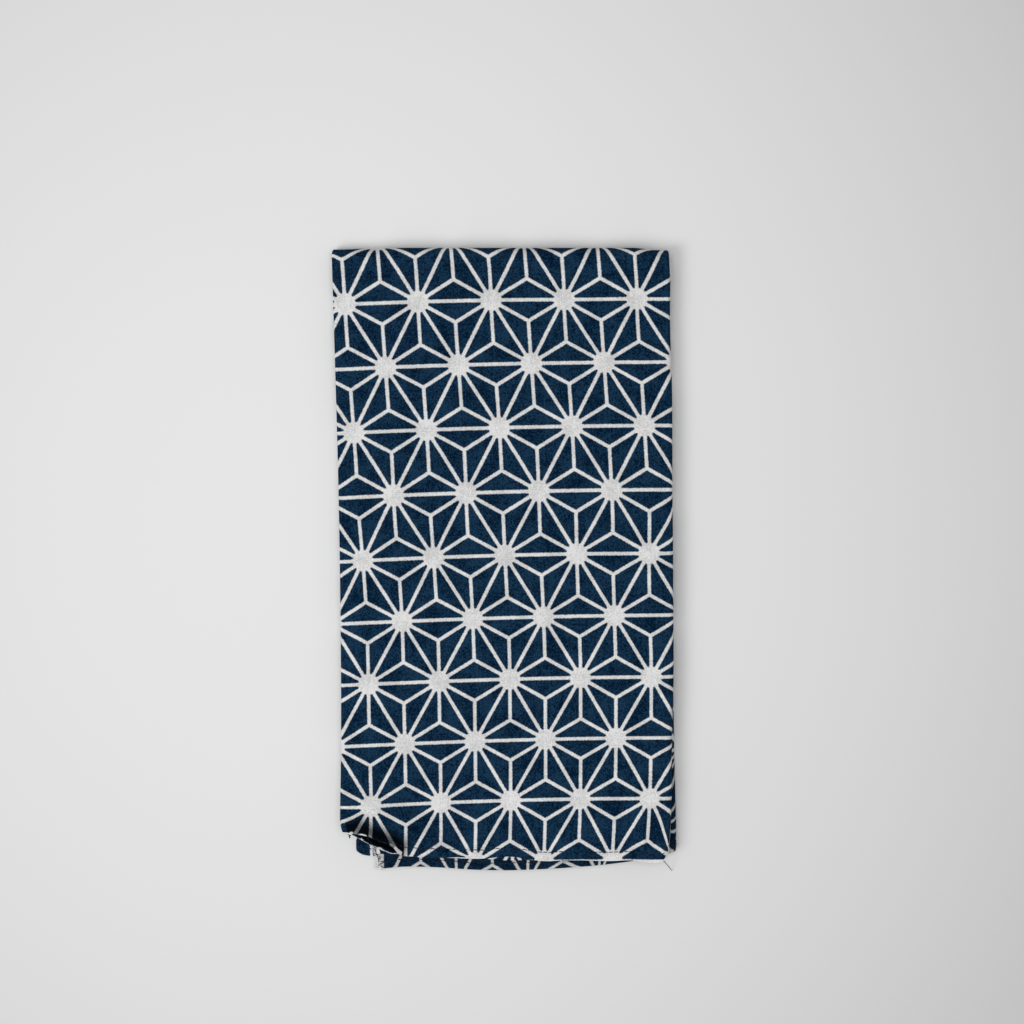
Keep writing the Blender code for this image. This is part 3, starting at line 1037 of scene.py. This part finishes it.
def makeHempLeafGroup():
    # triangles of a lattice, each with its edges and three lines from its middle
    group, given, result = newGroup("hempLeafPrint", [
        ("Place", "NodeSocketVector", None),
        ("Threads", "NodeSocketVector", None),
        ("Line width", "NodeSocketFloat", hempLeaf["lineWidth"]),
        ("Star radius", "NodeSocketFloat", hempLeaf["starRadius"]),
        ("Ragged", "NodeSocketFloat", 0.006),
        ("Softness", "NodeSocketFloat", 0.006),
    ], ["Bare"])
    calc = partial(nodeMath, group)
    threads = given.outputs["Threads"]
    placeX, placeY = nodeSplit(group, given.outputs["Place"])
    rise = math.sqrt(3) / 2
    along = calc("FRACT", calc("MULTIPLY_ADD", placeY, -0.5 / rise, placeX))
    up = calc("FRACT", calc("DIVIDE", placeY, rise))
    both = calc("ADD", along, up)
    upper = calc("GREATER_THAN", both, 1.0)
    first, second, third = (
        calc("ABSOLUTE", calc("SUBTRACT", whole, part))
        for whole, part in ((1.0, both), (upper, along), (upper, up))
    )
    least = calc("MINIMUM", first, calc("MINIMUM", second, third))
    most = calc("MAXIMUM", first, calc("MAXIMUM", second, third))
    middle = calc("SUBTRACT", calc("SUBTRACT", 1.0, most), least)

    toEdge = calc("MULTIPLY", least, rise)
    toSpoke = calc("MULTIPLY", calc("SUBTRACT", middle, least), 0.5)
    halfLine = calc("MULTIPLY", given.outputs["Line width"], 0.5)
    line = calc("SUBTRACT", calc("MINIMUM", toEdge, toSpoke), halfLine)
    squares = calc("MULTIPLY", middle, middle)
    squares = calc("MULTIPLY_ADD", least, least, squares)
    squares = calc("MULTIPLY_ADD", middle, least, squares)
    star = calc("SUBTRACT", calc("SQRT", squares), given.outputs["Star radius"])
    shape = calc("SMOOTH_MIN", line, star, 0.039)

    # dye creeps along single threads
    waver = calc("SUBTRACT", nodeNoise(group, threads, 380.0, 2.0), 0.5)
    creep = calc("MULTIPLY_ADD", waver, 0.6, nodeSpeckle(group, threads, 0.45 * mm))
    shape = calc("MULTIPLY_ADD", creep, given.outputs["Ragged"], shape)
    share = calc("DIVIDE", shape, given.outputs["Softness"])
    bare = nodeRange(group, share, -1.0, 1.0, 1.0, 0.0)
    group.links.new(bare, result.inputs["Bare"])
    return group


def makeWeaveGroup():
    # plain weave with uneven threads
    group, given, result = newGroup("plainWeave", [
        ("Threads", "NodeSocketVector", None),
        ("Per metre", "NodeSocketFloat", 2300.0),
    ], ["Height", "Tone"])
    calc = partial(nodeMath, group)
    threads = given.outputs["Threads"]
    turns = calc("MULTIPLY", given.outputs["Per metre"], math.pi)
    warp, weft = (
        calc("SINE", calc("MULTIPLY", axis, turns)) for axis in nodeSplit(group, threads)
    )
    over = nodeRange(group, calc("MULTIPLY", warp, weft), -0.35, 0.35, 0.0, 1.0)
    rise = calc("MULTIPLY", calc("ABSOLUTE", warp), over)
    drop = calc("MULTIPLY", calc("ABSOLUTE", weft), calc("SUBTRACT", 1.0, over))
    crown = calc("ADD", rise, drop)
    slubAcross = nodeNoise(group, threads, 1.0, 3.0, (1500.0, 60.0, 1.0))
    slubAlong = nodeNoise(group, threads, 1.0, 3.0, (60.0, 1500.0, 1.0))
    slub = calc("ADD", slubAcross, slubAlong)
    height = calc("MULTIPLY_ADD", slub, 0.6, calc("MULTIPLY", crown, 0.5))
    tone = calc("MULTIPLY_ADD", slub, 1.3, calc("MULTIPLY_ADD", crown, 0.2, -1.4))
    # each crossing of two threads takes the dye its own way
    tone = calc("MULTIPLY_ADD", nodeSpeckle(group, threads, 0.435 * mm), 1.7, tone)
    group.links.new(height, result.inputs["Height"])
    group.links.new(tone, result.inputs["Tone"])
    return group


hempLeafGroup = makeHempLeafGroup()
weaveGroup = makeWeaveGroup()

dyes = {
    "navyDeep": (0.0001, 0.0075, 0.0235),
    "navy": (0.0090, 0.0360, 0.0760),
    "navyBack": (0.016, 0.043, 0.084),
    "paleDeep": (0.56, 0.56, 0.56),
    "pale": (0.773, 0.773, 0.768),
    "paleBack": (0.55, 0.58, 0.61),
    "threadNavy": (0.010, 0.014, 0.028),
    "threadPale": (0.86, 0.86, 0.84),
    "threadNavyDeep": (0.004, 0.006, 0.014),
    "threadPaleDeep": (0.55, 0.55, 0.54),
    # near black, for painted shade in the tuck and under the front hem
    "paintedShade": (0.0004, 0.001, 0.002),
}


def finishCloth(name, navyDeep, navy, paleDeep, pale, softness):
    material, tree, shader = newMaterial(name)
    calc = partial(nodeMath, tree)
    place = newNode(tree, "UVMap", uv_map="print").outputs["UV"]
    threads = newNode(tree, "UVMap", uv_map="threads").outputs["UV"]
    across, upwards = nodeSplit(tree, threads)
    weave = newNode(tree, "Group", {"Threads": threads}, node_tree=weaveGroup)
    # the lines come out finer by the back hem
    widths = hempLeaf["leafLineWidth"], hempLeaf["lineWidth"]
    leaf = newNode(tree, "Group", {
        "Place": place, "Threads": threads, "Softness": softness,
        "Line width": nodeRange(tree, upwards, 8 * mm, 30 * mm, *widths),
    }, node_tree=hempLeafGroup)

    # the selvedge is left undyed
    fromSelvedge = calc("MINIMUM", across, calc("SUBTRACT", flatWidth, across))
    unevenEdge = calc("MULTIPLY", nodeNoise(tree, threads, 700.0, 2.0), 0.0012)
    undyed = calc("LESS_THAN", calc("ADD", fromSelvedge, unevenEdge), 0.0019)
    bare = calc("MAXIMUM", leaf.outputs["Bare"], undyed)

    # dye is patchy over centimetres and over single threads
    patchy = nodeRange(tree, nodeNoise(tree, threads, 120.0, 6.0), 0.3, 0.7, 0.0, 1.0)
    grain = weave.outputs["Tone"]
    shade = calc("MULTIPLY_ADD", grain, 0.8, patchy, clamp=True)
    dark = nodeMix(tree, shade, navyDeep, navy)
    shade = calc("MULTIPLY_ADD", grain, 0.6, patchy, clamp=True)
    light = nodeMix(tree, shade, paleDeep, pale)
    worn = newNode(tree, "Attribute", attribute_name="worn").outputs["Fac"]
    # the deep attribute carries painted shade
    deep = newNode(tree, "Attribute", attribute_name="deep").outputs["Fac"]
    wearing = calc("MULTIPLY_ADD", grain, 0.05, worn)
    bare = calc("MULTIPLY", bare, nodeRange(tree, worn, -0.6, -0.2, 0.0, 1.0))
    bare = calc("MULTIPLY", bare, nodeRange(tree, deep, 0.87, 0.95, 1.0, 0.0))
    bare = calc("MAXIMUM", bare, nodeRange(tree, wearing, 0.35, 0.65, 0.0, 0.9))
    # painted shade: deep in the tuck, behind its crease and on the back half under the front hem,
    # the cloth is darkened towards near black
    dark = nodeMix(tree, calc("MULTIPLY", deep, 1.04, clamp=True), dark, dyes["paintedShade"])
    dimmed = calc("MULTIPLY", deep, nodeRange(tree, wearing, 0.3, 0.7, 0.8, 0.1))
    light = nodeMix(tree, dimmed, light, dyes["paintedShade"])
    colour = nodeMix(tree, bare, dark, light)

    # the stitch line is drawn in, most at each needle hole
    seams = sewing["fromHem"][-1], 2 * flatHalf - sewing["fromHem"][1]
    offBack, offFront = (calc("ABSOLUTE", calc("SUBTRACT", upwards, seam)) for seam in seams)
    groove = nodeRange(tree, calc("MINIMUM", offBack, offFront), 0.0, 0.9 * mm, 1.0, 0.0)
    holes = calc("COSINE", calc("MULTIPLY", across, 2 * math.pi / sewing["stitch"]))
    groove = calc("MULTIPLY", groove, calc("MULTIPLY_ADD", holes, 0.35, 0.65))
    relief = calc("MULTIPLY", weave.outputs["Height"], 0.10 * mm)
    relief = calc("MULTIPLY_ADD", groove, -0.30 * mm, relief)
    rumple = nodeNoise(tree, threads, 120.0, 3.0)
    relief = calc("MULTIPLY_ADD", rumple, 0.25 * mm, relief)
    roughness = calc("MULTIPLY_ADD", grain, -0.05, 0.9, clamp=True)
    finishShader(tree, shader, colour, newBump(tree, relief, 0.7, 1.0), roughness, 0.04)
    return material


def finishThread(name, deep, light):
    # twisted plies
    material, tree, shader = newMaterial(name)
    place = newNode(tree, "TexCoord").outputs["Object"]
    fibres = nodeNoise(tree, place, 5200.0, 2.0)
    colour = nodeMix(tree, nodeRange(tree, fibres, 0.3, 0.7, 0.0, 1.0), deep, light)
    finishShader(tree, shader, colour, newBump(tree, fibres, 0.5, 0.08 * mm), 0.85, 0.25)
    return material


for name, tones, softness in (
    ("printedFace", ("navyDeep", "navy", "paleDeep", "pale"), 0.006),
    ("printedBack", ("navy", "navyBack", "paleBack", "paleDeep"), 0.02),
):
    finish = finishCloth(name, *(dyes[tone] for tone in tones), softness)
    foldedCloth.data.materials.append(finish)
threadNavy = finishThread("navyThread", dyes["threadNavyDeep"], dyes["threadNavy"])
threadPale = finishThread("undyedThread", dyes["threadPaleDeep"], dyes["threadPale"])
hemStitches.data.materials.append(threadNavy)
looseThreads.data.materials.append(threadNavy)
selvedgeFray.data.materials.append(threadPale)

keepOnly(foldedCloth)
bpy.ops.object.modifier_apply(modifier="thickness")
# the turned hem shows its printed face on the wrong side too
threadPlaces = foldedCloth.data.uv_layers["threads"].data
for face in foldedCloth.data.polygons:
    runs = [threadPlaces[i].uv.y for i in face.loop_indices]
    if max(runs) < 4.15 * mm or min(runs) > 2 * flatHalf - 4.25 * mm:
        face.material_index = 0
print("materials done; cloth has", len(foldedCloth.data.polygons), "faces")


# floor, lights and camera
studio = {
    "floor": (0.80, 0.80, 0.80),
    "floorDeep": (0.788, 0.788, 0.788),
    # painted fall-off of the light: how the board darkens to the right, up and towards its sides,
    # per half metre
    "paintedFalloff": (-0.149, 0.070, -0.600, -0.456),
    "keyPlace": Vector((-1.264, -0.885, 1.839)),
    "keySize": 1.1,
    "keyPower": 25.2,
    "topHeight": 1.9,
    "topSize": 1.15,
    "topPower": 13.0,
    "sky": 0.333,
    "middle": Vector((3.26, 19.13, 9.3)) * mm,      # what the camera looks at
    "distance": 1.1577,             # 0.407 mm to a pixel on the packet's upper face
}


def makeFloor():
    keepOnly()
    bpy.ops.mesh.primitive_plane_add(size=8.0, location=(0, 0, 0))
    floor = bpy.context.active_object
    floor.name = "paleFloor"
    material, tree, shader = newMaterial("paleBoard")
    calc = partial(nodeMath, tree)
    place = newNode(tree, "TexCoord").outputs["Object"]
    right, up = nodeSplit(tree, place)
    right = calc("MULTIPLY", right, 2.0)
    up = calc("MULTIPLY_ADD", up, 2.0, -2 * studio["middle"].y)
    # the board's tone carries the painted fall-off of the light
    toRight, toTop, aside, along = studio["paintedFalloff"]
    tone = calc("MULTIPLY_ADD", right, toRight, 1.0)
    tone = calc("MULTIPLY_ADD", up, toTop, tone)
    tone = calc("MULTIPLY_ADD", calc("MULTIPLY", right, right), aside, tone)
    tone = calc("MULTIPLY_ADD", calc("MULTIPLY", up, up), along, tone)
    tone = calc("MAXIMUM", tone, 0.6)
    clouds = nodeNoise(tree, place, 9.0, 3.0)
    board = nodeMix(tree, clouds, studio["floorDeep"], studio["floor"])
    shade = newNode(tree, "CombineXYZ", enumerate([tone] * 3)).outputs[0]
    board = nodeMix(tree, 1.0, board, shade, "MULTIPLY")
    feed(tree, shader, (("Base Color", board), ("Roughness", 0.85), ("Specular IOR Level", 0.2)))
    floor.data.materials.append(material)
    return floor


def addLamp(name, place, size, power):
    light = bpy.data.lights.new(name, "AREA")
    light.shape = "SQUARE"
    light.size = size
    light.energy = power
    lamp = putInScene(light)
    lamp.location = place
    lamp.rotation_euler = (-place).to_track_quat("-Z", "Y").to_euler()


def makeLight():
    addLamp("softKey", studio["keyPlace"], studio["keySize"], studio["keyPower"])
    addLamp("overhead", Vector((0, 0, studio["topHeight"])), studio["topSize"], studio["topPower"])
    world = bpy.data.worlds.new("paleRoom")
    world.use_nodes = True
    background = world.node_tree.nodes["Background"]
    background.inputs["Color"].default_value = (1, 1, 1, 1)
    background.inputs["Strength"].default_value = studio["sky"]
    bpy.context.scene.world = world


def makeCamera():
    view = bpy.data.cameras.new("fromAbove")
    view.lens = 100.0
    view.sensor_width = 36.0
    view.clip_start = 0.05
    view.clip_end = 20.0
    camera = putInScene(view)
    camera.location = studio["middle"] + Vector((0, 0, studio["distance"]))
    bpy.context.scene.camera = camera


floor = makeFloor()
makeLight()
makeCamera()
bpy.context.scene.view_settings.view_transform = "Standard"
print("stage set")


# each piece goes on the root body, and the CAD cloth is hidden
for piece in (foldedCloth, hemStitches, selvedgeFray, looseThreads):
    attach(piece, "root")
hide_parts("furoshiki_cloth")
